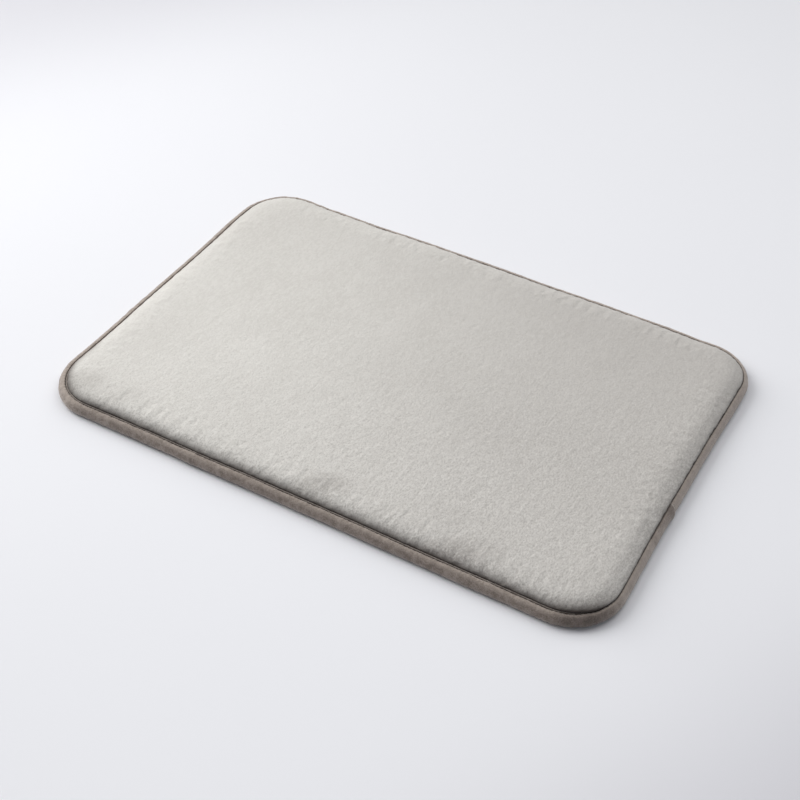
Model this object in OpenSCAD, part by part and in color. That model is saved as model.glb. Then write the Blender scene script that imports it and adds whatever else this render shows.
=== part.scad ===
// Bath mat: a plush cover over a memory foam pad on a dotted non-slip cloth.
// The three layers are squeezed together round the edge and bound with a folded tape.
// Millimetres, +Z up, origin on the floor under the middle of the mat.

/* [Mat] */
// Length of the mat over its binding
mat_length = 610; // [450:5:900]
// Width of the mat over its binding
mat_width = 425; // [320:5:600]
// Height from the floor to the top of the pile
mat_height = 20; // [18:0.5:26]
// Corner radius of the outline
corner_radius = 56; // [40:1:90]

/* [Edge binding] */
// Height of the bound edge
binding_height = 12; // [10:0.1:15]
// Thickness of the folded velour tape
tape_thickness = 1.2; // [0.9:0.05:1.5]
// Radius that the tape turns under with at the floor
lower_round = 4.5; // [3.7:0.1:5.4]
// Width of the tape's flat part on top, from the rounded edge to its inner edge
tape_flat = 2.3; // [2:0.1:6]
// How much further in the tape reaches below than on top
tape_catch = 1.2; // [0.5:0.1:4]

/* [Tape lap] */
// Length over which the tape's end covers its start
lap_length = 50; // [20:1:60]
// Distance from the front end of the side's straight run to the lap
lap_from_corner = 72; // [0:1:80]
// How much the lapped end stands proud of the tape
lap_rise = 0.5; // [0.3:0.05:0.8]

/* [Cover and foam] */
// Thickness of the cover, its cloth and its pile
cover_thickness = 4; // [3:0.1:5]
// Thickness of the cover where the binding squeezes it
bound_cover_thickness = 2; // [1.5:0.1:2.4]
// Radius of the pad's shoulder above the binding
shoulder_radius = 11.4; // [9.5:0.1:13]

/* [Backing] */
// Thickness of the backing cloth
backing_thickness = 0.8; // [0.5:0.05:1]
// Diameter of a grip dot
dot_diameter = 4; // [3:0.1:5]
// Distance between the grip dots in a row
dot_pitch = 16; // [13:0.5:30]
// Clear cloth between the binding and the nearest dots
dot_margin = 4; // [1:0.5:20]

/* [Stitching] */
// Thickness of the sewing thread
thread_diameter = 0.5; // [0.4:0.05:0.6]
// Distance of the stitch row from the tape's inner edge
stitch_margin = 1.6; // [1:0.1:2]
// Clearance between the thread and the groove that it pulls in the tape
groove_clearance = 0.1; // [0.05:0.05:0.2]

/* [Hidden] */
$fn = 96;
dot_facets = 24;

// The tape's outer surface is two quarter rounds that meet upright at lower_round.
upper_round = binding_height - lower_round;
binding_width = upper_round + tape_flat;
binding_width_below = binding_width + tape_catch;
// The backing lies at the height of the tape that is folded under it.
backing_top = tape_thickness + backing_thickness;
// The shoulder rises out of the crease where the tape's edge meets the cover.
crease_height = binding_height - tape_thickness;
shoulder_height = mat_height - shoulder_radius;
crease_rise = max(0, crease_height - shoulder_height);
shoulder_inset = binding_width + sqrt(pow(shoulder_radius, 2) - pow(crease_rise, 2));
// Each thread is pulled against the floor of the groove that it makes in the tape.
stitch_inset = binding_width - stitch_margin;
groove_width = thread_diameter + 2 * groove_clearance;
groove_depth = thread_diameter + groove_clearance;
// Rows of dots are staggered, each dot the same distance from its six neighbours.
row_pitch = dot_pitch * sqrt(3) / 2;
dot_inset = binding_width_below + dot_margin + dot_diameter / 2;
// The lap ends just above the floor, so the mat still lies on the tape itself.
lap_lift = 1;
lap_start = lap_from_corner + corner_radius - mat_width / 2;

// Length of the outline's side number k, and of the sides next to it
function side_length(k) = k % 2 == 0 ? mat_length : mat_width;
function side_across(k) = side_length(k + 1);

// How far a point of the floor plan lies inside the outline
function inset_at(x, y) =
    let (qx = abs(x) - (mat_length / 2 - corner_radius),
         qy = abs(y) - (mat_width / 2 - corner_radius))
    qx > 0 && qy > 0 ? corner_radius - norm([qx, qy]) : corner_radius - max(qx, qy);

// Carries a section round the outline: its X is the distance in from the outline
module round_outline() {
    for (k = [0:3]) rotate([0, 0, 90 * k]) {
        translate([corner_radius - side_length(k) / 2, -side_across(k) / 2, 0])
            rotate([90, 0, 90])
                linear_extrude(side_length(k) - 2 * corner_radius) children();
        translate([side_length(k) / 2 - corner_radius,
                   corner_radius - side_across(k) / 2, 0])
            rotate([0, 0, -90])
                rotate_extrude(angle = 90)
                    translate([corner_radius, 0]) mirror([1, 0]) children();
    }
}

// Fills the middle of the mat, inside the round corners, between two heights
module middle_block(low, high) {
    translate([corner_radius - mat_length / 2, corner_radius - mat_width / 2, low])
        cube([mat_length - 2 * corner_radius, mat_width - 2 * corner_radius, high - low]);
}

// A rectangle of a section, from one corner to the opposite one
module span(from, to) {
    polygon([from, [to.x, from.y], to, [from.x, to.y]]);
}

// Upper half of the bound edge's section, at a depth below the tape's outer surface
module upper_edge(depth, reach) {
    top = binding_height - depth;
    intersection() {
        translate([upper_round, lower_round]) circle(r = upper_round - depth);
        span([-lap_rise, lower_round], [reach, binding_height + lap_rise]);
    }
    span([upper_round, lower_round], [reach, top]);
}

// Lower half of the same section
module lower_edge(depth, reach) {
    intersection() {
        translate([lower_round, lower_round]) circle(r = lower_round - depth);
        span([-lap_rise, -lap_rise], [reach, lower_round]);
    }
    span([lower_round, depth], [reach, lower_round]);
}

// The pad's section above the crease, at a depth below the top of the pile
module pad_shoulder(depth) {
    shoulder = shoulder_radius - depth;
    top = mat_height - depth;
    intersection() {
        translate([shoulder_inset, shoulder_height]) circle(r = shoulder);
        span([shoulder_inset - shoulder, shoulder_height], [shoulder_inset + shoulder, top]);
    }
    span([shoulder_inset - shoulder, lower_round],
         [shoulder_inset + shoulder, shoulder_height]);
    span([shoulder_inset, lower_round], [corner_radius, top]);
}

// The hollow that the foam fills under the cover
module under_cover() {
    upper_edge(tape_thickness + bound_cover_thickness, shoulder_inset);
    pad_shoulder(cover_thickness);
}

// Plush cover: laid over the foam and squeezed flat under the binding
module plush_cover() color("#C8C5BF") {
    round_outline() difference() {
        union() {
            upper_edge(tape_thickness, shoulder_inset);
            pad_shoulder(0);
        }
        under_cover();
    }
    middle_block(mat_height - cover_thickness, mat_height);
}

// Memory foam: full height in the middle, crushed to a flange inside the binding
module foam_core() color("#EFE7C8") {
    round_outline() {
        under_cover();
        lower_edge(backing_top, corner_radius);
    }
    middle_block(backing_top, mat_height - cover_thickness);
}

// Backing cloth: flat underneath, turned up a little inside the fold of the tape
module backing_cloth() color("#97928C") {
    round_outline() difference() {
        lower_edge(tape_thickness, corner_radius);
        lower_edge(backing_top, corner_radius);
    }
    middle_block(tape_thickness, backing_top);
}

// Grip dots: rubbery dots printed on the backing cloth, down to the floor
module grip_dots() color("#7D7873") {
    rows = floor(mat_width / 2 / row_pitch);
    columns = floor(mat_length / 2 / dot_pitch);
    for (row = [-rows:rows], column = [-columns:columns]) {
        x = (column + (row % 2 == 0 ? 0 : 0.5)) * dot_pitch;
        y = row * row_pitch;
        if (inset_at(x, y) > dot_inset)
            translate([x, y, 0])
                cylinder(d = dot_diameter, h = tape_thickness, $fn = dot_facets);
    }
}

// The folded tape's section, open towards the middle of the mat
module tape_section() {
    difference() {
        union() {
            upper_edge(0, binding_width);
            lower_edge(0, binding_width_below);
        }
        upper_edge(tape_thickness, binding_width + tape_thickness);
        lower_edge(tape_thickness, binding_width_below + tape_thickness);
    }
}

// The lapped end's section, let into the tape by half of the tape's thickness
module lap_section() {
    difference() {
        union() {
            upper_edge(-lap_rise, binding_width);
            lower_edge(-lap_rise, upper_round);
        }
        upper_edge(tape_thickness / 2, binding_width);
        lower_edge(tape_thickness / 2, upper_round);
        span([-lap_rise, -lap_rise], [upper_round, lap_lift]);
    }
}

// Grooves that the stitches pull into the tape, above and below
module stitch_grooves() {
    outer_side = stitch_inset - groove_width / 2;
    inner_side = stitch_inset + groove_width / 2;
    span([outer_side, binding_height - groove_depth],
         [inner_side, binding_height + 2 * lap_rise]);
    span([outer_side, 0], [inner_side, groove_depth]);
}

// Edge binding: one tape folded round the edge, its end lapped over its start
module edge_binding() color("#8C8079") {
    round_outline() difference() {
        tape_section();
        stitch_grooves();
    }
    translate([mat_length / 2, lap_start, 0])
        rotate([90, 0, 180])
            linear_extrude(lap_length) difference() {
                lap_section();
                stitch_grooves();
            }
}

// Needle thread: the upper thread of the stitch row, lying in the tape's groove
module needle_thread() color("#5A4F49") {
    round_outline()
        translate([stitch_inset, binding_height - groove_depth + thread_diameter / 2])
            circle(d = thread_diameter);
}

// Bobbin thread: the lower thread of the same stitch row
module bobbin_thread() color("#5A4F49") {
    round_outline()
        translate([stitch_inset, groove_depth - thread_diameter / 2])
            circle(d = thread_diameter);
}

plush_cover();
foam_core();
backing_cloth();
grip_dots();
edge_binding();
needle_thread();
bobbin_thread();
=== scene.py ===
"""Bath mat: a plush cover over memory foam, on a dotted backing cloth, in a sewn tape binding."""
import math

import bpy
import numpy as np
from mathutils import Matrix, Vector


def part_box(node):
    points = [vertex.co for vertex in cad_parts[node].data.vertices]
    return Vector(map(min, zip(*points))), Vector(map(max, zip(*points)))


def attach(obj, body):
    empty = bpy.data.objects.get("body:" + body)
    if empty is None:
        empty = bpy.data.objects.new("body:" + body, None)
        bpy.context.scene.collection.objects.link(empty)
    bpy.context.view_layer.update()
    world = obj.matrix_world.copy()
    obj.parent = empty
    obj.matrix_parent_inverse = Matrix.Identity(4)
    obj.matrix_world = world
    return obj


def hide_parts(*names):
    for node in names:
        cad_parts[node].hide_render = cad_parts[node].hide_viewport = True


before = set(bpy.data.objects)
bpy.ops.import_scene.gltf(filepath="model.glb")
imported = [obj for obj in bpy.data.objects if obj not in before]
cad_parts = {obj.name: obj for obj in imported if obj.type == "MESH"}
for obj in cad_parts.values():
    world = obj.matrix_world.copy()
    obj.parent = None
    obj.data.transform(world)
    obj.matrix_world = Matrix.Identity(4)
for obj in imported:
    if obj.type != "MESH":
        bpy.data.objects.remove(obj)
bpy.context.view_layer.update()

MM = 0.001

# ------------ sizes, from the frame

tape_low, tape_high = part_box("edge_binding")
thread_low, thread_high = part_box("needle_thread")

HALF_LENGTH = -tape_low.x
HALF_WIDTH = -tape_low.y
LAP_RISE = tape_high.x - HALF_LENGTH
EDGE_HEIGHT = tape_high.z - LAP_RISE
MAT_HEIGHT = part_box("plush_cover")[1].z
FOAM_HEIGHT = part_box("foam_core")[1].z
TAPE_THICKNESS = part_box("backing_cloth")[0].z
BACKING_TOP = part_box("foam_core")[0].z
THREAD_THICKNESS = thread_high.z - thread_low.z
STITCH_INSET = HALF_LENGTH - thread_high.x + THREAD_THICKNESS / 2

CORNER_RADIUS = 56 * MM
LOWER_ROUND = 4.5 * MM
UPPER_ROUND = EDGE_HEIGHT - LOWER_ROUND
TAPE_EDGE = 9.8 * MM
TAPE_EDGE_BELOW = 11 * MM
BOUND_COVER = 2 * MM
STITCH_LENGTH = 4.8 * MM
LAP_FROM, LAP_TO = -84.5 * MM, -34.5 * MM
DOT_PITCH = 16 * MM
DOT_INSET = 17 * MM
# The bound edge's section is two quarter rounds, one above the other.
UPPER_CENTRE = (UPPER_ROUND, LOWER_ROUND)
LOWER_CENTRE = (LOWER_ROUND, LOWER_ROUND)

# The pile lies over along this direction of the floor plan.
NAP_TURN = math.radians(88)
# The pile leans this far out over the tape, on the side that it is brushed towards.
PILE_LEAN = 2.4 * MM
# The shoulder's cloth simulation may move a point this far, and stops after these frames.
PUSH_LIMIT = 0.22 * MM
PUSH_FRAMES = 20
# Where the back and right sides dip in: the place along the side, its reach and the depth in mm
BACK_DIPS = ((-0.150, 0.045, 1.9), (-0.215, 0.03, 0.8), (-0.21, 0.05, 0.5), (0.242, 0.03, 2.0))
RIGHT_DIPS = ((0.0, 0.08, 1.2), (-0.07, 0.03, 0.6), (0.07, 0.03, 0.6))
DAYLIGHT = (1.0, 0.99, 0.975)

# ------------ smooth random fields


def lattice(ix, iy, iz, seed):
    """A repeatable number from -1 to 1 for each whole-number place."""
    h = (ix * 374761393 + iy * 668265263 + iz * 974634777 + seed * 144665) & 0xFFFFFFFF
    h = ((h ^ (h >> 13)) * 1274126177) & 0xFFFFFFFF
    h = ((h ^ (h >> 16)) * 2246822519) & 0xFFFFFFFF
    return ((h ^ (h >> 15)) & 0xFFFF) / 32767.5 - 1


def noise(points, size, seed):
    """Smooth noise from -1 to 1 whose bumps are about size apart."""
    p = np.asarray(points, float) / size + 1000
    cell = np.floor(p).astype(np.int64)
    t = p - cell
    t = t * t * (3 - 2 * t)
    total = 0
    for corner in range(8):
        step = np.array([corner & 1, corner >> 1 & 1, corner >> 2 & 1])
        share = np.prod(np.where(step, t, 1 - t), axis=1)
        x, y, z = (cell + step).T
        total = total + share * lattice(x, y, z, seed)
    return total


def ease(x, low, high):
    """0 below low, 1 above high, and smooth between them."""
    t = np.clip((x - low) / (high - low), 0, 1)
    return t * t * (3 - 2 * t)


def hill(x, middle, width):
    """1 at the middle, fading smoothly to 0 on both sides."""
    return np.exp(-(((x - middle) / width) ** 2))


# ------------ the outline


class Walk:
    """Stations round the outline, counter-clockwise from the front side's left end."""

    def __init__(self, step, corner_steps):
        self.corner_steps = corner_steps
        self.counts, self.starts, places, normals = [], [], [], []
        for side in range(4):
            along, across = (HALF_LENGTH, HALF_WIDTH)[:: 1 if side % 2 == 0 else -1]
            run = 2 * (along - CORNER_RADIUS)
            count = round(run / step)
            x = np.linspace(-run / 2, run / 2, count, endpoint=False)
            angle = np.linspace(-math.pi / 2, 0, corner_steps, endpoint=False)
            facing = np.stack([np.cos(angle), np.sin(angle)], axis=1)
            centre = np.array([run / 2, CORNER_RADIUS - across])
            turn = side * math.pi / 2
            spin = np.array(
                [[math.cos(turn), math.sin(turn)], [-math.sin(turn), math.cos(turn)]]
            )
            straight = np.stack([x, np.full(count, -across)], axis=1)
            self.starts.append(sum(map(len, places)))
            self.counts.append(count)
            places.append(np.concatenate([straight, centre + CORNER_RADIUS * facing]) @ spin)
            normals.append(np.concatenate([np.tile([0.0, -1.0], (count, 1)), facing]) @ spin)
        self.base = np.concatenate(places)
        self.normal = np.concatenate(normals)
        self.distance, self.length = run_length(self.base)

    def __len__(self):
        return len(self.base)

    def rows(self, u, z):
        """Points at distances u in from the outline and heights z: one row for each of them."""
        u, z = np.asarray(u, float), np.asarray(z, float)
        if u.ndim == 1:
            u, z = u[:, None], z[:, None]
        plan = self.base[None] - self.normal[None] * u[..., None]
        height = np.broadcast_to(z, plan.shape[:2])
        return np.concatenate([plan, height[..., None]], axis=2)

    def foot(self):
        """The outline's points on the floor."""
        return np.concatenate([self.base, np.zeros((len(self), 1))], axis=1)


def run_length(loop):
    """Distance along a closed loop of points at each point, and right round it."""
    gaps = np.linalg.norm(np.roll(loop, -1, axis=0) - loop, axis=1)
    return np.concatenate([[0], np.cumsum(gaps)[:-1]]), float(gaps.sum())


def inset_and_normal(x, y):
    """How far points of the floor plan lie inside the outline, and which way is out."""
    qx = np.abs(x) - (HALF_LENGTH - CORNER_RADIUS)
    qy = np.abs(y) - (HALF_WIDTH - CORNER_RADIUS)
    cornered = (qx > 0) & (qy > 0)
    reach = np.where(cornered, np.hypot(qx, qy), np.maximum(qx, qy))
    safe = np.where(cornered, np.maximum(reach, 1e-9), 1)
    nx = np.where(cornered, qx / safe, qx > qy) * np.sign(x)
    ny = np.where(cornered, qy / safe, qx <= qy) * np.sign(y)
    return CORNER_RADIUS - reach, nx, ny


def settle(points):
    """The unevenness of a hand-fed seam, the same for every layer: the sides wander a little,
    and the seam is sewn a little further out on the front and right sides."""
    out = np.array(points, float)
    x, y = out[:, 0].copy(), out[:, 1].copy()
    inset, nx, ny = inset_and_normal(x, y)
    pull = (1.4 * np.maximum(nx, 0) ** 2 + 1.0 * np.maximum(-ny, 0) ** 2) * MM
    pull = pull * ease(inset, 1 * MM, 7 * MM) * (1 - ease(inset, 14 * MM, 40 * MM))
    out[:, 0] += nx * pull
    out[:, 1] += ny * pull
    back, right = ease(y, 0.1, 0.2), ease(x, 0.2, 0.29)
    front, left = ease(-y, 0.1, 0.2), ease(-x, 0.2, 0.29)
    plan = np.stack([x, y, 0 * x], axis=1)
    sway = noise(plan, 150 * MM, 1) * 0.7 * MM + noise(plan, 55 * MM, 2) * 0.35 * MM
    # How far each side bows out, in millimetres
    back_bow = 0.9 * right - sum(depth * hill(x, at, reach) for at, reach, depth in BACK_DIPS)
    right_bow = front - sum(depth * hill(y, at, reach) for at, reach, depth in RIGHT_DIPS)
    left_bow = 1.3 * front + 2.1 * hill(y, 0.132, 0.04) - 0.7 * (1 - ease(y, 0.0, 0.08))
    front_bow = 1.2 * right + left
    out[:, 0] += right * (sway + right_bow * MM) - left * (sway + left_bow * MM)
    out[:, 1] += back * (sway + back_bow * MM) - front * (sway + front_bow * MM)
    return out


def facings(normal):
    """How far outward directions face the front, the right side and the near right corner."""
    to_front, to_right = np.maximum(-normal[:, 1], 0), np.maximum(normal[:, 0], 0)
    return to_front, to_right, np.clip(0.66 * normal[:, 0] - 0.75 * normal[:, 1], 0, 1)


# ------------ mesh making


def add_object(name, data):
    """A new object of the scene, with its data."""
    added = bpy.data.objects.new(name, data)
    bpy.context.scene.collection.objects.link(added)
    return added


def made_plain(piece):
    """The mesh that a piece has once its modifiers have run."""
    done = bpy.context.evaluated_depsgraph_get()
    return bpy.data.meshes.new_from_object(piece.evaluated_get(done))


def mesh_piece(name, points, faces):
    """A new smooth object from points and faces that point outwards."""
    mesh = bpy.data.meshes.new(name)
    mesh.vertices.add(len(points))
    mesh.vertices.foreach_set("co", np.asarray(points, np.float32).ravel())
    corners = np.concatenate([np.asarray(group, np.int32).ravel() for group in faces])
    sizes = np.concatenate([np.full(len(group), len(group[0]), np.int32) for group in faces])
    mesh.loops.add(len(corners))
    mesh.loops.foreach_set("vertex_index", corners)
    mesh.polygons.add(len(sizes))
    mesh.polygons.foreach_set("loop_start", np.concatenate([[0], np.cumsum(sizes)[:-1]]))
    mesh.polygons.foreach_set("use_smooth", np.ones(len(sizes), bool))
    mesh.update(calc_edges=True)
    if mesh.validate():
        raise RuntimeError(f"{name} has faces that don't fit together")
    return add_object(name, mesh)


def quads(rows, columns, closed_rows=False):
    """Quads between rows of points whose ends meet, numbered row by row."""
    count = rows if closed_rows else rows - 1
    r, c = (part.ravel() for part in np.meshgrid(range(count), range(columns), indexing="ij"))
    r2, c2 = (r + 1) % rows * columns, (c + 1) % columns
    r = r * columns
    return np.stack([r + c, r + c2, r2 + c2, r2 + c], axis=1)


def tidy(faces, same):
    """Faces with merged points put in, as quads and triangles."""
    faces = same[faces]
    doubled = faces == np.roll(faces, -1, axis=1)
    whole = faces[~doubled.any(axis=1)]
    single = doubled.sum(axis=1) == 1
    thin = faces[single][~doubled[single]].reshape(-1, 3)
    return [group for group in (whole, thin) if len(group)]


def layer(name, walk, u, z, grid_below=False, change=None):
    """A closed layer of the mat: its section runs from the middle of its underside, out to the
    edge and back to the middle of its top. The flat middle is filled in above and below."""
    count, size = len(walk), len(u)
    ring = walk.rows(u, z).reshape(-1, 3)
    same = np.arange(size * count)
    for row in (0, size - 1):
        for start, run in zip(walk.starts, walk.counts):
            merged = (start + run + np.arange(walk.corner_steps + 1)) % count
            same[row * count + merged] = row * count + (start + run) % count
    points, faces = [ring], tidy(quads(size, count), same)
    nx, ny = walk.counts[:2]
    added = len(ring)
    for row, facing_up in ((0, False), (size - 1, True)):
        side = [
            same[row * count + (start + np.arange(run + 1)) % count]
            for start, run in zip(walk.starts, walk.counts)
        ]
        if not facing_up and not grid_below:
            loop = np.concatenate([part[:-1] for part in side])
            faces.append(loop[::-1][None])
            continue
        index = np.zeros((ny + 1, nx + 1), int)
        index[0], index[:, nx] = side[0], side[1]
        index[ny], index[:, 0] = side[2][::-1], side[3][::-1]
        index[1:ny, 1:nx] = added + np.arange((ny - 1) * (nx - 1)).reshape(ny - 1, nx - 1)
        x, y = ring[side[0], 0], ring[side[1], 1]
        inside = np.stack(np.meshgrid(x[1:-1], y[1:-1]) + [np.full((ny - 1, nx - 1), z[row])], 2)
        points.append(inside.reshape(-1, 3))
        added += (ny - 1) * (nx - 1)
        grid = np.stack([index[:-1, :-1], index[:-1, 1:], index[1:, 1:], index[1:, :-1]], 2)
        grid = grid.reshape(-1, 4)
        faces.append(grid if facing_up else grid[:, ::-1])
    points = np.concatenate(points)
    used = np.zeros(len(points), bool)
    for group in faces:
        used[group.ravel()] = True
    renumber = np.cumsum(used) - 1
    row_of = np.concatenate([np.repeat(np.arange(size), count),
                             np.full(len(points) - len(ring), size - 1)])
    station_of = np.concatenate([np.tile(np.arange(count), size),
                                 np.full(len(points) - len(ring), 0)])
    if grid_below:
        row_of[len(ring):len(ring) + (ny - 1) * (nx - 1)] = 0
    if change is not None:
        points = change(points, row_of, station_of, np.arange(len(points)) >= len(ring))
    piece = mesh_piece(name, settle(points[used]), [renumber[group] for group in faces])
    return piece, points[used], row_of[used], station_of[used]


def vertex_places(mesh):
    """The places of a mesh's points."""
    places = np.zeros(len(mesh.vertices) * 3, np.float32)
    mesh.vertices.foreach_get("co", places)
    return places.reshape(-1, 3).astype(float)


def push_out(piece, amounts):
    """Moves each point of a piece along its own normal."""
    normals = np.zeros(len(piece.data.vertices) * 3, np.float32)
    piece.data.vertex_normals.foreach_get("vector", normals)
    places = vertex_places(piece.data) + normals.reshape(-1, 3) * amounts[:, None]
    piece.data.vertices.foreach_set("co", places.astype(np.float32).ravel())
    piece.data.update()


def number_attribute(piece, name, values):
    """Keeps a number for each point of a piece, for its material to read."""
    kept = piece.data.attributes.new(name, "FLOAT", "POINT")
    kept.data.foreach_set("value", np.asarray(values, np.float32))


def arc(middle, radii, start, end, count):
    """Points on an arc of a section, its angles in degrees, with one radius or two."""
    angle = np.radians(np.linspace(start, end, count))
    return middle + np.broadcast_to(radii, 2) * np.stack([np.cos(angle), np.sin(angle)], axis=1)


def section_distance(section):
    """Distance along a section at each of its points."""
    gaps = np.linalg.norm(np.diff(section, axis=0), axis=1)
    return np.concatenate([[0], np.cumsum(gaps)])


def smooth_path(knots, count):
    """Evenly spaced points on a smooth curve through the knots."""
    knots = np.asarray(knots, float)
    ends = np.concatenate([2 * knots[:1] - knots[1:2], knots, 2 * knots[-1:] - knots[-2:-1]])
    t = np.linspace(0, 1, 17)[:-1, None]
    curve = [((c - a) * t + (2 * a - 5 * b + 4 * c - d) * t**2
              + (3 * b - a - 3 * c + d) * t**3) / 2 + b
             for a, b, c, d in zip(ends, ends[1:], ends[2:], ends[3:])]
    curve = np.concatenate([*curve, knots[-1:]])
    distance = section_distance(curve)
    even = np.linspace(0, distance[-1], count)
    return np.stack([np.interp(even, distance, curve[:, k]) for k in (0, 1)], axis=1)


# ------------ materials


def add_node(tree, kind, inputs, output=0, **settings):
    """One output of a new node, whose inputs are linked where a socket is given, or set."""
    made = tree.nodes.new(kind)
    for key, value in settings.items():
        setattr(made, key, value)
    for key, value in inputs.items():
        if isinstance(value, bpy.types.NodeSocket):
            tree.links.new(value, made.inputs[key])
        else:
            made.inputs[key].default_value = value
    return made.outputs[output]


class Finish:
    """A material under construction, over the object's own coordinates in metres."""

    def __init__(self, name, roughness, sheen=0.0, sheen_roughness=0.4, specular=0.3,
                 sheen_tint=(1, 1, 1)):
        self.material = bpy.data.materials.new(name)
        self.material.use_nodes = True
        self.tree = self.material.node_tree
        self.inputs = self.tree.nodes["Principled BSDF"].inputs
        for key, value in (("Roughness", roughness), ("Specular IOR Level", specular),
                           ("Sheen Weight", sheen), ("Sheen Roughness", sheen_roughness),
                           ("Sheen Tint", (*sheen_tint, 1))):
            self.inputs[key].default_value = value
        self.place = self.node("ShaderNodeTexCoord", {}, "Object")

    def node(self, kind, inputs, output=0, **settings):
        """One output of a new shader node."""
        return add_node(self.tree, kind, inputs, output, **settings)

    def turned(self, turn=0.0, stretch=(1, 1, 1), move=(0, 0, 0)):
        """The place turned about the vertical, with textures stretched along its own axes."""
        return self.node("ShaderNodeMapping", {
            "Vector": self.place, "Location": move, "Rotation": (0, 0, turn), "Scale": stretch,
        }, vector_type="TEXTURE")

    def grain(self, size, detail=2.0, roughness=0.5, place=None, distortion=0.0):
        """Noise whose bumps are about size metres across."""
        return self.node("ShaderNodeTexNoise", {
            "Vector": place or self.place, "Scale": 1 / size, "Detail": detail,
            "Roughness": roughness, "Distortion": distortion,
        }, "Fac")

    def spread(self, value, low, high, to_low=0.0, to_high=1.0):
        """The value moved from one range to another, and kept inside it."""
        return self.node("ShaderNodeMapRange", {
            "Value": value, "From Min": low, "From Max": high, "To Min": to_low, "To Max": to_high,
        }, interpolation_type="SMOOTHSTEP")

    def sum(self, *weighted):
        """The sum of values, each times its weight."""
        total = 0
        for value, weight in weighted:
            total = self.node("ShaderNodeMath", {0: value, 1: weight, 2: total},
                              operation="MULTIPLY_ADD")
        return total

    def times(self, first, second):
        """The product of two values."""
        return self.node("ShaderNodeMath", {0: first, 1: second}, operation="MULTIPLY")

    def spot(self, x, y, width, depth, turn=0.0):
        """1 at a place of the floor plan, fading to 0 all round it."""
        place = self.turned(turn, (width, depth, 1), (x, y, 0))
        return self.node("ShaderNodeTexGradient", {"Vector": place}, "Fac",
                         gradient_type="SPHERICAL")

    def across(self, turn, start, end):
        """0 to 1 over the floor plan in one direction, between two distances."""
        ahead = self.node("ShaderNodeSeparateXYZ", {"Vector": self.turned(turn)}, "X")
        return self.spread(ahead, start, end)

    def attribute(self, name):
        """A number that the piece keeps at each of its points."""
        return self.node("ShaderNodeAttribute", {}, "Fac", attribute_name=name)

    def blend(self, factor, first, second):
        """A colour between two, each a colour or another blend's output."""
        first, second = ((*c, 1) if isinstance(c, tuple) else c for c in (first, second))
        # A colour mix has its two colours at the inputs 6 and 7 and its result at the output 2.
        return self.node("ShaderNodeMix", {0: factor, 6: first, 7: second}, 2, data_type="RGBA")

    def fade(self, base, colour, share, turn, start, end):
        """The base colour, fading towards another in one direction of the floor plan."""
        return self.blend(self.spread(self.across(math.radians(turn), start, end), 0, 1, 0, share),
                          base, colour)

    def colour(self, source):
        """Joins a colour to the shader."""
        self.tree.links.new(source, self.inputs["Base Color"])

    def rough(self, source):
        """Joins a roughness to the shader."""
        self.tree.links.new(source, self.inputs["Roughness"])

    def bump(self, height, distance, strength=1.0):
        """Joins a bump to the shader, its full height a distance in metres."""
        self.tree.links.new(self.node("ShaderNodeBump", {
            "Strength": strength, "Distance": distance, "Height": height,
        }), self.inputs["Normal"])


def plush_finish():
    """Warm grey short plush: streaks along the nap, brushed patches and a fine grain, with painted shade
    and highlights laid over them.
    """
    f = Finish("warm_grey_plush", 0.95, sheen=0.3, sheen_roughness=0.5, specular=0.1,
               sheen_tint=(1.0, 0.98, 0.95))
    streaks = f.grain(5 * MM, 3, 0.6, f.turned(NAP_TURN, (2.6, 1, 1)))
    patches = f.grain(55 * MM, 3, 0.55, f.turned(NAP_TURN, (1.5, 1, 1)), 0.6)
    tips = f.grain(2.3 * MM, 3, 0.65, f.turned(NAP_TURN, (1.7, 1, 1)))
    fibres = f.grain(0.8 * MM, 2, 0.6, f.turned(NAP_TURN, (2.2, 1, 1)))
    tone = f.sum((streaks, 0.2), (patches, 0.2), (tips, 0.45), (fibres, 0.15))
    body = f.blend(f.spread(tone, 0.40, 0.60), (0.628, 0.612, 0.578), (0.704, 0.69, 0.656))
    # Places near the front edge where the nap is brushed dark
    for x, y, width, depth, shade in (
        (-0.268, -0.184, 0.035, 0.022, 0.4),
        (-0.222, -0.182, 0.032, 0.018, 0.22),
        (0.012, -0.184, 0.04, 0.02, 0.5),
        (0.160, -0.190, 0.05, 0.022, 0.65),
        (0.136, -0.160, 0.034, 0.02, 0.16),
    ):
        smudge = f.times(f.spread(f.spot(x, y, width, depth, 0.5), 0.0, 0.8, 0.0, shade),
                         f.spread(patches, 0.3, 0.55, 0.4, 1.0))
        body = f.blend(smudge, body, (0.30, 0.28, 0.26))
    # Painted shade: the cover darkens towards the right, where the light of the left lamps falls off,
    # and a little towards the back; it is made a little lighter towards the front.
    body = f.fade(body, (0.33, 0.305, 0.295), 0.38, 6, -0.30, 0.30)
    body = f.fade(body, (0.33, 0.31, 0.30), 0.12, 95, 0.0, 0.22)
    body = f.fade(body, (0.86, 0.845, 0.81), 0.12, -100, -0.04, 0.12)
    opened = f.attribute("open_pile")
    # Where the pile is open, the tufts' tips are painted pale and the gaps between them painted dark, as
    # light and shade over the bump that sinks the gaps.
    gaps = f.grain(1.55 * MM, 2, 0.75, f.turned(NAP_TURN, (1.7, 1, 1)))
    body = f.blend(f.times(f.spread(gaps, 0.32, 0.52, 0.34, 0.0), opened),
                   body, (0.90, 0.885, 0.85))
    body = f.blend(f.times(f.spread(gaps, 0.48, 0.68, 0.0, 0.44), opened),
                   body, (0.25, 0.23, 0.215))
    # Painted shade darkens the pile down in the crease.
    f.colour(f.blend(f.attribute("painted_crease_shade"), body, (0.085, 0.07, 0.062)))
    f.rough(f.spread(tips, 0.3, 0.7, 0.86, 1.0))
    f.bump(f.sum((tips, 0.5), (fibres, 0.25), (streaks, 0.12), (f.times(gaps, opened), -0.5)),
           0.7 * MM, 1.0)
    return f.material


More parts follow.
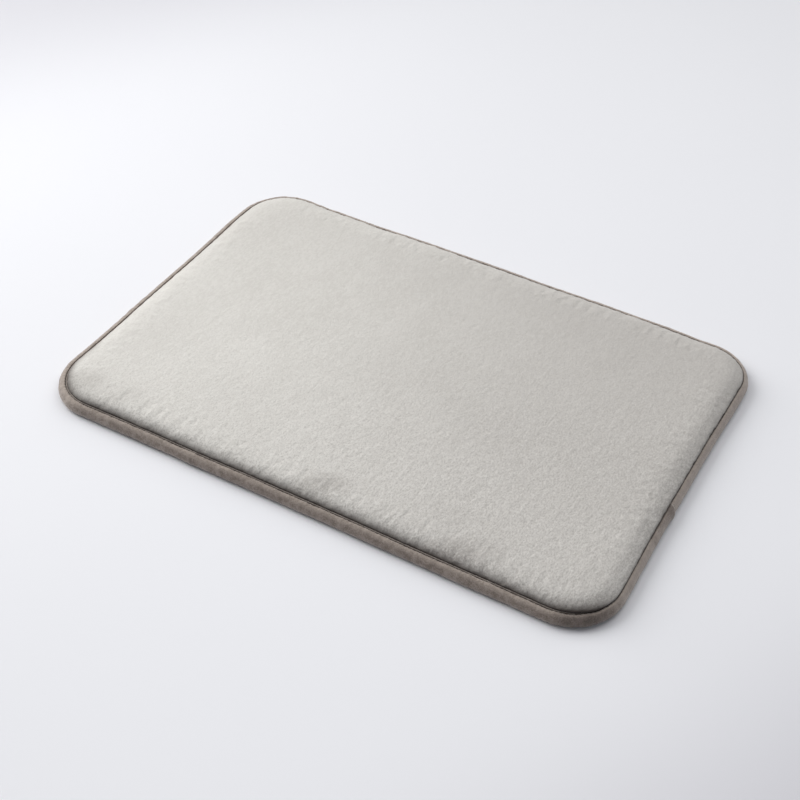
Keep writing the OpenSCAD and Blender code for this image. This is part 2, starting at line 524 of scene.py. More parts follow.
def tape_finish():
    """Taupe velour tape: short brushed nap, mottled, with painted shade that makes it near black down in
    the stitch groove, and painted light and shade on its rounds.
    """
    f = Finish("taupe_velour_tape", 0.85, sheen=0.8, sheen_roughness=0.45, specular=0.15,
               sheen_tint=(1.0, 0.94, 0.9))
    mottle = f.grain(6 * MM, 3, 0.6, None, 0.4)
    nap = f.grain(1.1 * MM, 3, 0.7)
    tone = f.sum((mottle, 0.45), (nap, 0.55))
    body = f.blend(f.spread(tone, 0.38, 0.62), (0.20, 0.162, 0.138), (0.40, 0.34, 0.30))
    # Painted light on the tape's upper and lower rounds and along the right side.
    body = f.blend(f.attribute("nap_painted_light"), body, (0.49, 0.43, 0.38))
    # Painted shade towards the near right corner; on the lap this colour makes its end darker.
    body = f.blend(f.attribute("corner_shade_and_lap_tone"), body, (0.12, 0.095, 0.085))
    body = f.blend(f.attribute("pale_fold"), body, (0.62, 0.56, 0.52))
    # Painted shade in the stitch groove, beside the seam and next to the lap's end.
    f.colour(f.blend(f.attribute("painted_crease_shade"), body, (0.022, 0.016, 0.013)))
    f.rough(f.spread(nap, 0.3, 0.7, 0.75, 0.95))
    f.bump(f.sum((nap, 0.8), (mottle, 0.5)), 0.7 * MM, 1.0)
    return f.material


def thread_finish():
    """Dark brown spun thread, its fibres twisted round it."""
    f = Finish("dark_brown_thread", 0.7, sheen=0.1, specular=0.3)
    twist = f.grain(0.35 * MM, 2, 0.6, f.turned(math.radians(40), (1, 2.5, 1)))
    f.colour(f.blend(f.spread(twist, 0.35, 0.65), (0.03, 0.022, 0.018), (0.07, 0.052, 0.044)))
    f.rough(f.spread(twist, 0.3, 0.7, 0.6, 0.8))
    f.bump(twist, 0.1 * MM, 0.8)
    return f.material


def foam_finish():
    """Cream memory foam with fine open cells."""
    f = Finish("cream_memory_foam", 0.9, specular=0.2)
    cells = f.node("ShaderNodeTexVoronoi", {"Vector": f.place, "Scale": 1 / (1.4 * MM)},
                   "Distance", feature="F1")
    tint = f.grain(40 * MM, 3)
    f.colour(f.blend(f.spread(tint, 0.35, 0.65), (0.80, 0.74, 0.56), (0.88, 0.83, 0.66)))
    f.rough(f.spread(cells, 0.0, 0.8, 1.0, 0.8))
    f.bump(cells, 0.5 * MM, 0.8)
    return f.material


def backing_finish():
    """Grey knitted backing cloth: fine ribs crossed by rows of loops."""
    f = Finish("grey_knit_backing", 0.9, sheen=0.1, specular=0.15)
    ribs, rows = (f.node("ShaderNodeTexWave", {
        "Vector": f.place, "Scale": 0.314 / (1.3 * MM), "Distortion": 0.6, "Detail": 1,
    }, "Fac", bands_direction=direction) for direction in "XY")
    loops = f.times(ribs, rows)
    shade = f.grain(25 * MM, 3)
    tone = f.sum((loops, 0.5), (shade, 0.5))
    f.colour(f.blend(f.spread(tone, 0.2, 0.7), (0.20, 0.185, 0.17), (0.36, 0.34, 0.32)))
    f.rough(f.spread(loops, 0.0, 1.0, 1.0, 0.8))
    f.bump(loops, 0.3 * MM, 0.8)
    return f.material


def grip_finish():
    """Soft printed rubbery dots, satin, with faint specks of dust."""
    f = Finish("grey_grip_rubber", 0.5, specular=0.4)
    specks = f.grain(0.9 * MM, 3, 0.6)
    f.colour(f.blend(f.spread(specks, 0.4, 0.75), (0.12, 0.112, 0.105), (0.19, 0.18, 0.17)))
    f.rough(f.spread(specks, 0.35, 0.7, 0.42, 0.68))
    f.bump(specks, 0.08 * MM, 0.5)
    return f.material


def floor_finish():
    """Matt white studio floor with the faintest mottle, and painted shade that makes it a little darker
    far off.
    """
    f = Finish("pale_studio_floor", 0.6, specular=0.15)
    tint = f.grain(0.9, 2)
    body = f.blend(f.spread(tint, 0.3, 0.7), (0.865, 0.875, 0.915), (0.88, 0.89, 0.93))
    # Painted shade: the floor darkens far off towards the right front and towards the back left, as the
    # lamps' light falls off.
    for share, turn, start, end in ((0.62, -27, 0.28, 0.75), (0.4, 156, 0.5, 1.1)):
        body = f.fade(body, (0.50, 0.49, 0.54), share, turn, start, end)
    f.colour(body)
    return f.material


def finished(piece, material, node):
    """Gives a piece its material and lets it stand for its node of the frame."""
    piece.data.materials.clear()
    piece.data.materials.append(material)
    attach(piece, "root")
    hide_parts(node)
    return piece


# ------------ repeated shapes


def scattered(name, shape, places, turns, material, seed):
    """Copies of a small shape at places of the mat, each turned about the vertical."""
    holder = add_object(f"{name}_places", bpy.data.meshes.new(f"{name}_places"))
    holder.data.from_pydata(places, [], [])
    number_attribute(holder, "turn", turns)
    tree = bpy.data.node_groups.new(f"{name}_repeat", "GeometryNodeTree")
    sockets = {
        key: tree.interface.new_socket(key, in_out="INPUT", socket_type=f"NodeSocket{kind}")
        for key, kind in (("Places", "Geometry"), ("Shape", "Object"), ("Seed", "Int"),
                          ("Unevenness", "Float"), ("Finish", "Material"))
    }
    tree.interface.new_socket("Copies", in_out="OUTPUT", socket_type="NodeSocketGeometry")

    def node(kind, inputs, output=0, **settings):
        """One output of a new node of the repeat."""
        return add_node(tree, kind, inputs, output, **settings)

    def random(low, high):
        """A random number for each copy: inputs 2 and 3 and output 1 are those of plain numbers."""
        return node("FunctionNodeRandomValue", {2: low, 3: high, "Seed": given["Seed"]}, 1,
                    data_type="FLOAT")

    given = tree.nodes.new("NodeGroupInput").outputs
    uneven = given["Unevenness"]
    wobble = random(node("ShaderNodeMath", {0: uneven, 1: -1}, operation="MULTIPLY"), uneven)
    size = random(node("ShaderNodeMath", {0: 1, 1: uneven}, operation="SUBTRACT"), 1)
    turn = node("GeometryNodeInputNamedAttribute", {"Name": "turn"}, data_type="FLOAT")
    turned = node("ShaderNodeMath", {0: turn, 1: wobble}, operation="ADD")
    copies = node("GeometryNodeInstanceOnPoints", {
        "Points": given["Places"],
        "Instance": node("GeometryNodeObjectInfo", {"Object": given["Shape"]}, "Geometry"),
        "Rotation": node("ShaderNodeCombineXYZ", {"Z": turned}),
        "Scale": size,
    })
    real = node("GeometryNodeRealizeInstances", {"Geometry": copies})
    dressed = node("GeometryNodeSetMaterial", {"Geometry": real, "Material": given["Finish"]})
    tree.links.new(dressed, tree.nodes.new("NodeGroupOutput").inputs["Copies"])
    repeat = holder.modifiers.new("repeat", "NODES")
    repeat.node_group = tree
    for key, value in (("Shape", shape), ("Seed", seed), ("Unevenness", 0.04),
                       ("Finish", material)):
        repeat[sockets[key].identifier] = value
    whole = made_plain(holder)
    whole.name = name
    whole.polygons.foreach_set("use_smooth", np.ones(len(whole.polygons), bool))
    bpy.data.objects.remove(holder)
    bpy.data.objects.remove(shape)
    return add_object(name, whole)


# ------------ plush cover

# Rows of the cover's section that lie under the tape
HIDDEN_ROWS = 7


def cover_top():
    """The cover's outer section: under the tape, out of the crease and over to the flat top."""
    depth = TAPE_THICKNESS + 0.15 * MM
    hidden = arc(UPPER_CENTRE, UPPER_ROUND - depth, 180, 90, HIDDEN_ROWS)
    wall = smooth_path([(10.6, 10.75), (10.3, 11.5), (10.0, 12.1), (10.0, 12.8), (10.5, 13.6),
                        (11.5, 14.7), (13.2, 15.9)], 13) * MM
    roll = smooth_path([(13.2, 15.9), (16, 17.2), (19.6, 18.3), (24.2, 19.15), (31, 19.68),
                        (39, 19.9), (47, 19.98), (56, 20)], 38) * MM
    roll[:, 1] *= MAT_HEIGHT / (20 * MM)
    roll[-1] = (CORNER_RADIUS, MAT_HEIGHT)
    return np.concatenate([hidden, wall, roll[1:]])


def cover_below():
    """The cover's inner section, from its middle out to its edge under the tape."""
    depth = TAPE_THICKNESS + BOUND_COVER
    middle = np.array([(CORNER_RADIUS, FOAM_HEIGHT), (36 * MM, FOAM_HEIGHT)])
    rise = arc((21 * MM, 8.9 * MM), (7.4 * MM, FOAM_HEIGHT - 8.9 * MM), 90, 180, 7)
    hidden = arc(UPPER_CENTRE, UPPER_ROUND - depth, 90, 180, 5)
    return np.concatenate([middle, rise, hidden])


def foam_push(walk, section):
    """How far the cover's shoulder moves as cloth: cut a little too long for its seam, sewn
    down along the crease and the flat, and pushed out by the foam under it."""
    count, size = len(walk), len(section)
    start = walk.rows(section[:, 0], section[:, 1]).reshape(-1, 3)
    start[:, 2] += 0.05 * MM * noise(start, 9 * MM, 21)
    band = mesh_piece("shoulder_cloth", start, [quads(size, count)])
    sewn = band.vertex_groups.new(name="sewn")
    held = np.concatenate([np.arange(2 * count), np.arange((size - 2) * count, size * count)])
    sewn.add(held.tolist(), 1.0, "REPLACE")
    cloth = band.modifiers.new("push", "CLOTH")
    settings = cloth.settings
    for key, value in (("quality", 6), ("mass", 0.15), ("tension_stiffness", 12),
                       ("compression_stiffness", 12), ("shear_stiffness", 6),
                       ("bending_stiffness", 1.2), ("shrink_min", -0.03), ("use_pressure", True),
                       ("uniform_pressure_force", 4), ("vertex_group_mass", "sewn")):
        setattr(settings, key, value)
    settings.effector_weights.gravity = 0
    cloth.point_cache.frame_start, cloth.point_cache.frame_end = 1, PUSH_FRAMES
    for number in range(1, PUSH_FRAMES + 1):
        bpy.context.scene.frame_set(number)
    moved = vertex_places(made_plain(band)) - start
    bpy.data.objects.remove(band)
    bpy.context.scene.frame_set(1)
    reach = np.linalg.norm(moved, axis=1, keepdims=True)
    moved = moved / np.maximum(reach, 1e-9) * PUSH_LIMIT * np.tanh(reach / PUSH_LIMIT)
    return moved.reshape(size, count, 3)


def blend_grid(grid, row, column):
    """A grid's values at places between its rows and columns."""
    r = np.clip(row.astype(int), 0, len(grid) - 2)
    c = np.clip(column.astype(int), 0, grid.shape[1] - 2)
    tr, tc = (row - r)[:, None], ease(column - c, 0, 1)[:, None]
    near = (1 - tc) * grid[r, c] + tc * grid[r, c + 1]
    far = (1 - tc) * grid[r + 1, c] + tc * grid[r + 1, c + 1]
    return (1 - tr) * near + tr * far


def build_plush_cover():
    """The cover: its closed section round the mat, pushed out as cloth, then its pile."""
    walk = Walk(1.25 * MM, 60)
    below, top = cover_below(), cover_top()
    section = np.concatenate([below, top])
    first_shown = len(below) + HIDDEN_ROWS
    shown_distance = np.zeros(len(section))
    shown_distance[first_shown:] = section_distance(section[first_shown:])
    coarse_walk = Walk(4.5 * MM, 18)
    coarse_rows = first_shown + np.concatenate([[0, 2], np.arange(5, 40, 3)])
    coarse_distance = shown_distance[coarse_rows]
    push = foam_push(coarse_walk, section[coarse_rows])
    push = np.concatenate([push, push[:, :1]], axis=1)
    stations = np.concatenate([coarse_walk.distance, [coarse_walk.length]])

    def change(points, row_of, station_of, middle):
        along = walk.distance[station_of] / walk.length * coarse_walk.length
        over = shown_distance[row_of]
        shift = blend_grid(push, np.interp(over, coarse_distance, range(len(coarse_distance))),
                           np.interp(along, stations, range(len(stations))))
        normal = walk.normal[station_of]
        lean = PILE_LEAN * facings(normal)[1] ** 2 * ease(
            points[:, 2], 11.7 * MM, 12.5 * MM) * (1 - ease(over, 3 * MM, 10 * MM))
        shift[:, :2] += normal * lean[:, None]
        shift[(row_of < first_shown) | middle | (over > coarse_distance[-1])] = 0
        return points + shift

    cover, nominal, row_of, station_of = layer(
        "plush_top", walk, section[:, 0], section[:, 1], change=change)
    foot = walk.foot()[station_of]
    inset = section[row_of, 0]
    shown = ease(shown_distance[row_of], 0.5 * MM, 3 * MM)
    lying = nominal.copy()
    c, s = math.cos(NAP_TURN), math.sin(NAP_TURN)
    lying[:, 0] = (c * nominal[:, 0] + s * nominal[:, 1]) / 1.6
    lying[:, 1] = -s * nominal[:, 0] + c * nominal[:, 1]
    outer = row_of >= first_shown
    rim = hill(inset, 12 * MM, 9 * MM) * outer
    to_front, to_right, to_corner = facings(walk.normal[station_of])
    near = 0.45 * nominal[:, 0] - 0.9 * nominal[:, 1]
    open_pile = np.clip(0.7 * ease(near, -0.18, 0.2)
                        + (0.12 + 0.38 * to_front) * rim * (inset < 40 * MM), 0, 1)
    # Heights in millimetres, from the finest unevenness of the pile to the low swells
    clumps = (0.06 + 0.2 * open_pile) * noise(lying, 3.2 * MM, 11)
    clumps += 0.05 * noise(lying, 6 * MM, 12)
    lumps = 0.05 * noise(lying, 16 * MM, 13) + 0.25 * noise(nominal, 80 * MM, 14)
    puckers = 0.22 * noise(foot, 24 * MM, 15) + 0.12 * noise(foot, 9 * MM, 16)
    tufts = 0.4 * noise(lying, 2.3 * MM, 17) * hill(shown_distance[row_of], 2.4 * MM, 2.6 * MM)
    push_out(cover, shown * (clumps + lumps + rim * puckers + tufts) * MM)
    # Painted shade: the pile is darker down in the crease, most of all towards the near right corner,
    # which faces away from the lamps.
    shady = to_corner ** 3
    brushed = to_right ** 2 * (1 - shady)
    soft_corner = ease(-nominal[:, 0], 0.25, 0.29) * ease(-nominal[:, 1], 0.10, 0.15)
    height = nominal[:, 2]
    foot_shade = 0.42 + 0.12 * to_front + 0.3 * shady + 0.55 * brushed - 0.3 * soft_corner
    foot_shade *= 1 - ease(height, 11.4 * MM, (13.6 + 1.5 * brushed) * MM)
    wall_shade = (0.22 + 0.46 * to_front + 0.5 * shady + 0.6 * soft_corner) * (1 - 0.75 * brushed)
    wall_shade *= 1 - ease(height, 12.5 * MM, 19.3 * MM)
    number_attribute(cover, "painted_crease_shade", np.minimum(foot_shade + wall_shade, 1) * outer)
    number_attribute(cover, "open_pile", open_pile)
    return cover


# ------------ foam and backing


def build_foam_core():
    """The foam: full height in the middle, crushed thin inside the binding."""
    walk = Walk(5 * MM, 16)
    clear = TAPE_THICKNESS + BOUND_COVER + 0.1 * MM
    below = np.concatenate([
        [(CORNER_RADIUS, BACKING_TOP), (30 * MM, BACKING_TOP), (12 * MM, BACKING_TOP)],
        arc(LOWER_CENTRE, LOWER_ROUND - BACKING_TOP - 0.1 * MM, 270, 190, 5),
    ])
    above = np.concatenate([
        arc(UPPER_CENTRE, UPPER_ROUND - clear, 175, 90, 6),
        [(12 * MM, 8.65 * MM)],
        arc((21.1 * MM, 8.8 * MM), (7.4 * MM, FOAM_HEIGHT - 0.1 * MM - 8.8 * MM), 180, 90, 8),
        [(32 * MM, FOAM_HEIGHT - 0.1 * MM), (CORNER_RADIUS, FOAM_HEIGHT - 0.1 * MM)],
    ])
    section = np.concatenate([below, above])
    foam, nominal, row_of, _ = layer("foam_pad", walk, section[:, 0], section[:, 1])
    top = row_of >= len(below)
    push_out(foam, -0.12 * MM * (0.5 + 0.5 * noise(nominal, 14 * MM, 31)) * top)
    return foam


def build_backing_cloth():
    """The backing cloth: flat underneath, turned up a little in the fold of the tape."""
    walk = Walk(3.2 * MM, 20)
    inner = LOWER_ROUND - BACKING_TOP
    outer = LOWER_ROUND - TAPE_THICKNESS - 0.08 * MM
    section = np.concatenate([
        [(CORNER_RADIUS, TAPE_THICKNESS)],
        [(inset * MM, TAPE_THICKNESS + rise * MM)
         for inset, rise in ((44, 0), (30, 0), (20, 0), (13, 0.02), (10, 0.08))],
        arc(LOWER_CENTRE, outer, 270, 185, 6),
        arc(LOWER_CENTRE, inner, 185, 270, 6),
        [(12 * MM, BACKING_TOP), (28 * MM, BACKING_TOP), (CORNER_RADIUS, BACKING_TOP)],
    ])
    cloth, nominal, row_of, _ = layer(
        "backing_sheet", walk, section[:, 0], section[:, 1], grid_below=True)
    below = row_of < 5
    push_out(cloth, -0.1 * MM * (0.5 + 0.5 * noise(nominal, 18 * MM, 41)) * below)
    return cloth


def build_grip_dots(material):
    """The grip dots: low domes that hang from the backing, in staggered rows."""
    # Each ring's radius and height in millimetres
    rings = ((2.0, 1.35), (1.95, 0.75), (1.6, 0.28), (0.85, 0.04))
    sides = 10
    angle = np.arange(sides) * 2 * math.pi / sides
    shape = np.concatenate(
        [np.stack([r * np.cos(angle), r * np.sin(angle), np.full(sides, z)], axis=1)
         for r, z in rings] + [[(0, 0, 0)]]) * MM
    tip = len(shape) - 1
    last = (len(rings) - 1) * sides + np.arange(sides)
    fan = np.stack([last, np.roll(last, -1), np.full(sides, tip)], axis=1)
    dome = mesh_piece("dot_shape", shape, [
        quads(len(rings), sides)[:, ::-1], fan[:, ::-1], np.arange(sides)[None]])
    row_pitch = DOT_PITCH * math.sqrt(3) / 2
    rows, columns = int(HALF_WIDTH / row_pitch), int(HALF_LENGTH / DOT_PITCH)
    row, column = np.mgrid[-rows:rows + 1, -columns:columns + 1].reshape(2, -1)
    x, y = (column + 0.5 * (row % 2)) * DOT_PITCH, row * row_pitch
    places = np.stack([x, y, 0 * x], axis=1)[inset_and_normal(x, y)[0] > DOT_INSET]
    return scattered("printed_dots", dome, settle(places), noise(places, 9 * MM, 51), material, 7)


# ------------ edge binding


def tape_loop():
    """The folded tape's section as a closed loop, from its top fold round the outside and back."""
    edge, groove = TAPE_EDGE, STITCH_INSET
    top = EDGE_HEIGHT
    above = np.array([
        (edge - 0.5 * MM, top - TAPE_THICKNESS), (edge - 0.12 * MM, top - 1.0 * MM),
        (edge, top - 0.6 * MM), (edge - 0.12 * MM, top - 0.2 * MM), (edge - 0.5 * MM, top),
        (groove + 0.7 * MM, top + 0.02 * MM), (groove + 0.42 * MM, top - 0.2 * MM),
        (groove + 0.2 * MM, top - 0.6 * MM), (groove - 0.2 * MM, top - 0.6 * MM),
        (groove - 0.45 * MM, top - 0.18 * MM), (groove - 0.85 * MM, top + 0.05 * MM),
    ])
    upper = arc(UPPER_CENTRE, UPPER_ROUND, 98, 180, 13)
    lower = arc(LOWER_CENTRE, LOWER_ROUND, 194, 270, 6)
    edge = TAPE_EDGE_BELOW
    below = np.array([
        (groove - 0.8 * MM, 0), (groove - 0.4 * MM, 0.2 * MM), (groove - 0.2 * MM, 0.6 * MM),
        (groove + 0.2 * MM, 0.6 * MM), (groove + 0.4 * MM, 0.2 * MM), (groove + 0.8 * MM, 0),
        (edge - 0.4 * MM, 0), (edge, 0.5 * MM), (edge - 0.3 * MM, TAPE_THICKNESS - 0.05 * MM),
    ])
    inner = np.concatenate([
        [(7.5 * MM, TAPE_THICKNESS)],
        arc(LOWER_CENTRE, LOWER_ROUND - TAPE_THICKNESS, 270, 190, 4),
        arc(UPPER_CENTRE, UPPER_ROUND - TAPE_THICKNESS, 180, 92, 7),
    ])
    return np.concatenate([above, upper, lower, below, inner]), len(above), len(upper), len(lower)


def tape_life(walk, section, count_above, count_upper, count_lower):
    """How the tape's outer side swells between the stitches and wanders along its length."""
    size = len(section)
    foot = walk.foot()
    stitches = round(walk.length / STITCH_LENGTH)
    beat = np.cos(2 * math.pi * stitches * walk.distance / walk.length)
    number = np.arange(size)
    arched = (number >= 4) & (number < count_above + count_upper + count_lower)
    share = ease(number, 4, 8) * (1 - ease(number, count_above + 14, count_above + 19)) * arched
    near_seam = hill(section[:, 0], STITCH_INSET - 1.6 * MM, 1.9 * MM) * (section[:, 1] > 10 * MM)
    swell = (0.26 * noise(foot, 20 * MM, 61) + 0.2 * noise(foot, 7 * MM, 62)
             + 0.1 * noise(foot, 3.2 * MM, 63))
    scallop = 0.16 * -beat + 0.12 * noise(foot, 5.5 * MM, 64)
    deep = (number >= 7) & (number <= 8)
    lapped = ease(foot[:, 1], LAP_FROM - 4 * MM, LAP_FROM) * (foot[:, 0] > 0.9 * HALF_LENGTH) * (
        1 - ease(foot[:, 1], LAP_TO - 1 * MM, LAP_TO + 4 * MM))
    swell, scallop = swell * (1 - lapped), scallop * (1 - 0.5 * lapped)
    lift = share[:, None] * swell[None] + near_seam[:, None] * scallop[None]
    lift = lift - deep[:, None] * 0.28 * (0.5 + 0.5 * beat)[None]
    ridge = noise((foot[None] + 1.3 * section[:, None, :1]).reshape(-1, 3), 2.6 * MM, 65)
    ridge = ridge.reshape(size, len(walk))
    return (lift + 0.14 * ridge * share[:, None]) * MM


def outward_normals(section):
    """Outward normals of a closed section that runs counter-clockwise."""
    ahead = np.roll(section, -1, axis=0) - np.roll(section, 1, axis=0)
    normals = np.stack([ahead[:, 1], -ahead[:, 0]], axis=1)
    return normals / np.linalg.norm(normals, axis=1, keepdims=True)


def build_edge_binding():
    """The tape: its folded section carried round the mat, and its lapped end."""
    walk = Walk(1.05 * MM, 84)
    section, count_above, count_upper, count_lower = tape_loop()
    lift = tape_life(walk, section, count_above, count_upper, count_lower)
    normals = outward_normals(section)
    u = section[:, :1] + normals[:, :1] * lift
    z = np.maximum(section[:, 1:] + normals[:, 1:] * lift, 0)
    ring = walk.rows(u, z).reshape(-1, 3)
    # The section runs the way that would turn these faces inwards.
    faces = [quads(len(section), len(walk), closed_rows=True)[:, [0, 3, 2, 1]]]
    height, number = section[:, 1], np.arange(len(section))
    outside = (number < count_above) | (height < 1 * MM)
    # Painted shade: near black down in the stitch groove and on the tape's folded edge tucked under the
    # pile.
    groove = hill(section[:, 0], STITCH_INSET, 0.55 * MM) * outside
    depth = np.maximum(groove, (number < 3) * 0.8)[:, None]
    lap, lap_faces, lap_crease_shade, fold, lap_end_dark = tape_lap(section[2:count_above + count_upper + 4])
    points = np.concatenate([ring, lap])
    faces += [group + len(ring) for group in lap_faces]
    tape = mesh_piece("binding_tape", settle(points), faces)
    to_front, to_right, to_corner = facings(walk.normal)
    shady = to_corner ** 6
    # Painted shade: the pile's shade on the strip beside the seam, and the lap's shade on the tape next
    # to its end.
    strip = seam_strip(section) * (number < count_above)
    lap_shade = hill(walk.base[:, 1], LAP_TO + 0.3 * MM, 0.9 * MM) * (walk.base[:, 0] > 0.3)
    depth = np.maximum(depth, strip[:, None] * np.maximum(0.75 * shady, to_right ** 2))
    depth = np.maximum(depth, 0.5 * lap_shade).ravel()
    # Painted light: the nap is made pale on the fold's upper round, where the light falls, on its lower
    # round, lit from the floor, and along the right side.
    pale = (0.1 + 0.32 * to_front * (1 - shady)) * ease(height, 8.5 * MM, 11 * MM)[:, None]
    pale = pale + (0.1 + 0.3 * to_front) * (1 - ease(height, 0.5 * MM, 4 * MM))[:, None]
    pale = np.minimum(pale + 0.6 * to_right ** 3 * (1 - shady), 0.85).ravel()
    # Painted shade on the tape towards the near right corner, which faces away from the lamps; the lap
    # is made darker towards its end.
    dark = np.tile(0.5 * shady, len(section))
    for name, on_tape, on_lap in (
        ("painted_crease_shade", depth, lap_crease_shade), ("pale_fold", np.zeros(len(depth)), fold),
        ("nap_painted_light", pale, np.full(len(lap_end_dark), 0.3)), ("corner_shade_and_lap_tone", dark, lap_end_dark),
    ):
        number_attribute(tape, name, np.concatenate([on_tape, on_lap]))
    return tape


def seam_strip(section):
    """1 on the tape's flat top beside the seam, fading to 0 towards its rounded edge."""
    return ease(section[:, 0], 5.7 * MM, 6.9 * MM)


def tape_lap(outer):
    """The tape's end, turned under and sewn down over its start on the right side."""
    sunk = 0.45 * TAPE_THICKNESS
    normals = outward_normals(np.concatenate([outer, [(9 * MM, 5 * MM)]]))[:len(outer)]
    length = LAP_TO - LAP_FROM
    edge = np.array([0, 0.1, 0.25, 0.5, 0.8, 1.2]) * MM
    stations = np.concatenate([edge, np.linspace(2 * MM, length - 2 * MM, 46),
                               length - edge[::-1]])
    near_end = np.minimum(stations, length - stations)
    rounding = np.sqrt(np.clip(1 - (1 - np.clip(near_end / (1.2 * MM), 0, 1)) ** 2, 0.03, 1))
    rise = LAP_RISE * (0.6 + 2.6 * ease(stations, 0.6 * length, length))
    foot = np.stack([np.full(len(stations), HALF_LENGTH), LAP_FROM + stations,
                     0 * stations], axis=1)
    bumps = 0.12 * MM * noise(foot, 6 * MM, 71)
    # The turned-under corner is drawn back where the fold goes down the mat's side.
    down = ease(-outer[:, 1], -11.5 * MM, -2 * MM)
    columns = []
    for number, station in enumerate(stations):
        out = outer + normals * ((rise[number] + bumps[number]) * rounding[number])
        back = outer - normals * sunk * rounding[number]
        loop = np.concatenate([out, back[::-1]])
        drawn = 6.5 * MM * ease(station, 0.75 * length, length)
        draw = drawn * np.concatenate([down, down[::-1]])
        columns.append(np.stack([HALF_LENGTH - loop[:, 0], LAP_FROM + station - draw,
                                 np.maximum(loop[:, 1], 0.4 * MM)], axis=1))
    points = np.concatenate(columns)
    size, count = len(columns[0]), len(columns)
    faces = [quads(count, size), np.arange(size)[None, ::-1], (count - 1) * size + np.arange(size)[None]]
    # Painted shade beside the seam on the lap, as on the tape under it.
    groove = 0.95 * seam_strip(outer) * (np.arange(len(outer)) < 12)
    depth = np.tile(np.concatenate([groove, groove]), count)
    lying = np.concatenate([outer, outer[::-1]])[:, 1]
    fold = np.maximum(hill(stations, length - 0.6 * MM, 1.1 * MM)[:, None],
                      0.8 * (hill(lying, 2 * MM, 1.6 * MM)[None]
                             * ease(stations, 0.6 * length, 0.95 * length)[:, None])).ravel()
    # The lap is made darker towards its end, with a mottle.
    lap_end_dark = np.repeat(0.45 * ease(stations, 0.3 * length, 0.9 * length) + 0.15 * noise(
        foot, 7 * MM, 72), size).clip(0, 1)
    return points, faces, depth, fold, lap_end_dark


# ------------ stitches


def stitch_shape(upward):
    """One stitch: a short thread that dives into the cloth at both ends."""
    rings, sides = 6, 6
    t = np.linspace(0, 1, rings)
    x = (t - 0.5) * STITCH_LENGTH * 0.94
    z = -0.42 * MM * np.abs(2 * t - 1) ** 3
    thick = THREAD_THICKNESS / 2 * np.array([0.6, 1, 1.06, 1.06, 1, 0.6])
    angle = np.arange(sides) * 2 * math.pi / sides
    shape = np.stack([
        np.repeat(x, sides),
        np.outer(thick, np.cos(angle)).ravel(),
        np.repeat(z, sides) + np.outer(thick, np.sin(angle)).ravel(),
    ], axis=1)
    if not upward:
        shape[:, 1:] *= -1
    cap = np.arange(sides)[None]
    return mesh_piece("stitch_shape", shape, [
        quads(rings, sides), cap[:, ::-1], cap + (rings - 1) * sides])


def build_thread(name, node, upward, seed, material):
    """A row of stitches round the mat, at the height of its thread in the frame."""
    walk = Walk(0.6 * MM, 140)
    low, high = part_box(node)
    height = (low.z + high.z) / 2
    row = walk.rows([STITCH_INSET], [height])[0]
    count = round(walk.length / STITCH_LENGTH)
    middles = (np.arange(count) + 0.5) * walk.length / count
    pick = np.searchsorted(walk.distance, middles).clip(0, len(walk) - 1)
    places = settle(row)[pick]
    ahead = settle(row)[(pick + 2) % len(row)] - settle(row)[pick - 2]
    turns = np.arctan2(ahead[:, 1], ahead[:, 0])
    return scattered(name, stitch_shape(upward), places, turns, material, seed)


# ------------ put together

plush_cover = finished(build_plush_cover(), plush_finish(), "plush_cover")

foam_core = finished(build_foam_core(), foam_finish(), "foam_core")

backing_cloth = finished(build_backing_cloth(), backing_finish(), "backing_cloth")

rubber = grip_finish()
grip_dots = finished(build_grip_dots(rubber), rubber, "grip_dots")

edge_binding = finished(build_edge_binding(), tape_finish(), "edge_binding")

yarn = thread_finish()
needle_thread = finished(build_thread("needle_stitches", "needle_thread", True, 81, yarn),
                         yarn, "needle_thread")
bobbin_thread = finished(build_thread("bobbin_stitches", "bobbin_thread", False, 82, yarn),
                         yarn, "bobbin_thread")

# ------------ studio

floor = mesh_piece("studio_floor", [(-8, -8, 0), (8, -8, 0), (8, 8, 0), (-8, 8, 0)],
                   [np.array([[0, 1, 2, 3]])])
floor.data.materials.append(floor_finish())

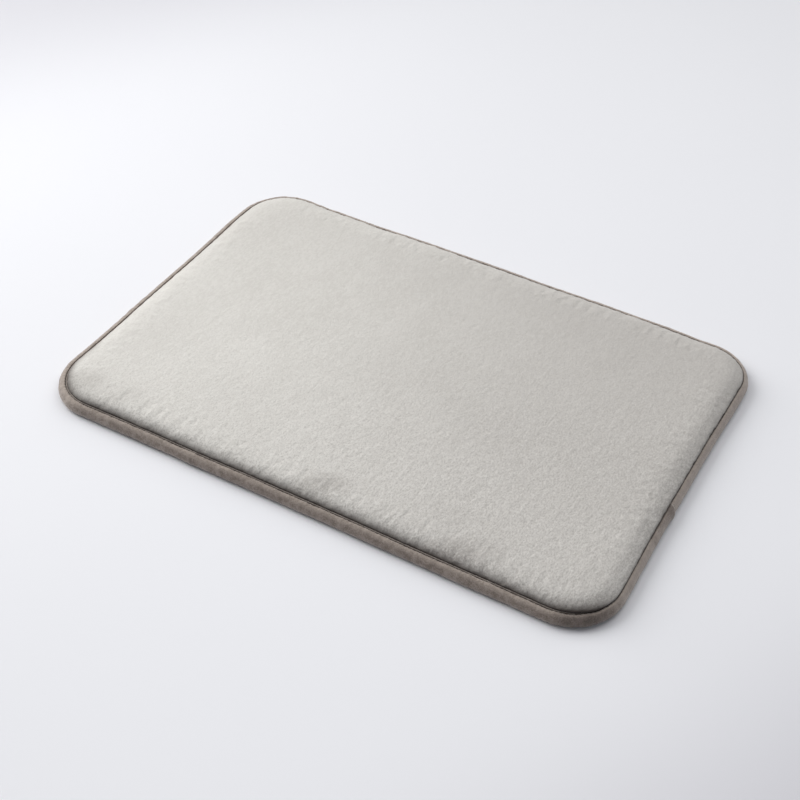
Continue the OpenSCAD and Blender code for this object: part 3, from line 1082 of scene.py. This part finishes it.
scene = bpy.context.scene
world = bpy.data.worlds.new("studio_air")
world.use_nodes = True
world.node_tree.nodes["Background"].inputs["Color"].default_value = (0.93, 0.95, 1.0, 1)
world.node_tree.nodes["Background"].inputs["Strength"].default_value = 0.15
scene.world = world


def softbox(name, place, size, power, colour):
    """A large soft square light that faces the mat."""
    lamp = bpy.data.lights.new(name, "AREA")
    lamp.shape, lamp.size, lamp.energy, lamp.color = "SQUARE", size, power, colour
    light = add_object(name, lamp)
    light.location = place
    light.rotation_euler = (-Vector(place)).to_track_quat("-Z", "Y").to_euler()


def window(name, facing, strength, colour):
    """Soft even light from one side, like a large curtained window."""
    lamp = bpy.data.lights.new(name, "SUN")
    lamp.energy, lamp.angle, lamp.color = strength, math.radians(50), colour
    light = add_object(name, lamp)
    light.rotation_euler = Vector(facing).to_track_quat("Z", "Y").to_euler()


softbox("left_softbox", (-1.15, 0.05, 0.95), 0.95, 5.4, DAYLIGHT)
softbox("top_softbox", (-0.3, 0.2, 1.4), 1.2, 3.4, (1.0, 0.99, 0.98))
window("left_window", (-0.88, 0.03, 0.43), 2.2, DAYLIGHT)
window("back_window", (0.05, 0.8, 0.6), 1.16, DAYLIGHT)
window("right_window", (0.8, 0.25, 0.55), 0.16, (0.96, 0.98, 1.0))

# The camera looks down on the mat from the front, a little right of its middle.
azimuth, elevation, roll = (math.radians(a) for a in (-62.264, 42.37, 2.322))
look_at = Vector((6.528, -28.233, 0)) * MM
distance = 1423.96 * MM
away = Vector((math.cos(elevation) * math.cos(azimuth),
               math.cos(elevation) * math.sin(azimuth), math.sin(elevation)))
level = (-away).cross(Vector((0, 0, 1))).normalized()
upright = level.cross(-away)
right = level * math.cos(roll) + upright * math.sin(roll)
up = upright * math.cos(roll) - level * math.sin(roll)
eye = bpy.data.cameras.new("camera")
eye.lens, eye.sensor_width = 63.71, 36
camera = add_object("camera", eye)
camera.matrix_world = Matrix.Translation(look_at + away * distance) @ Matrix(
    (right, up, away)).transposed().to_4x4()
scene.camera = camera
scene.view_settings.view_transform = "Standard"
